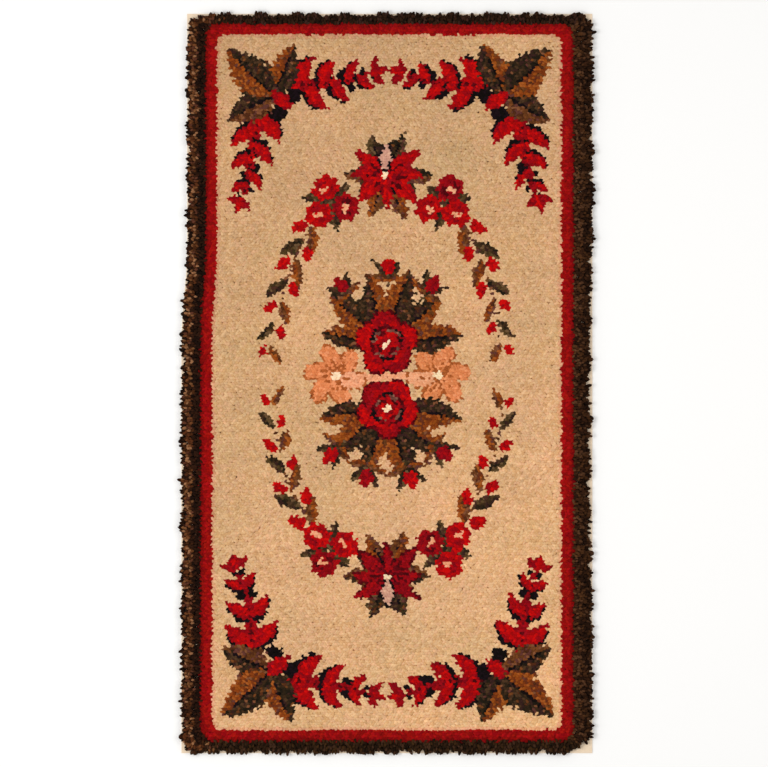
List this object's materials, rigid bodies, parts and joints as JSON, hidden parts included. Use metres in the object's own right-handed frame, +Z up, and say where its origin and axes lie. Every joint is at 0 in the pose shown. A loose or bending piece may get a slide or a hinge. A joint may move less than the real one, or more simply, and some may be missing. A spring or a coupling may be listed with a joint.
{
  "type": "hooked rug",
  "caption": "Rectangular wool hooked rug with a looped pile on a linen foundation, a red band and a shaggy dark border, lying flat as a floor covering.",
  "frame": {"origin": "middle of the rug's underside, at the bottom centre of its bounding box", "axes": "+Z up out of the pile, +Y along the rug's length towards the top of its design, +X across its width to the right"},
  "size_m": [0.6934, 1.242, 0.012],
  "materials": {
    "linen": "pale unbleached plain weave, matte",
    "ground_wool": "matte looped wool, tan-cream ground with a dyed floral figure and a red band",
    "border_wool": "matte shaggy wool in mixed blackish browns"
  },
  "bodies": {
    "root": {"foundation": "linen", "hooked_pile": "ground_wool", "border_left": "border_wool", "border_right": "border_wool", "border_top": "border_wool", "border_bottom": "border_wool"}
  },
  "joints": []
}
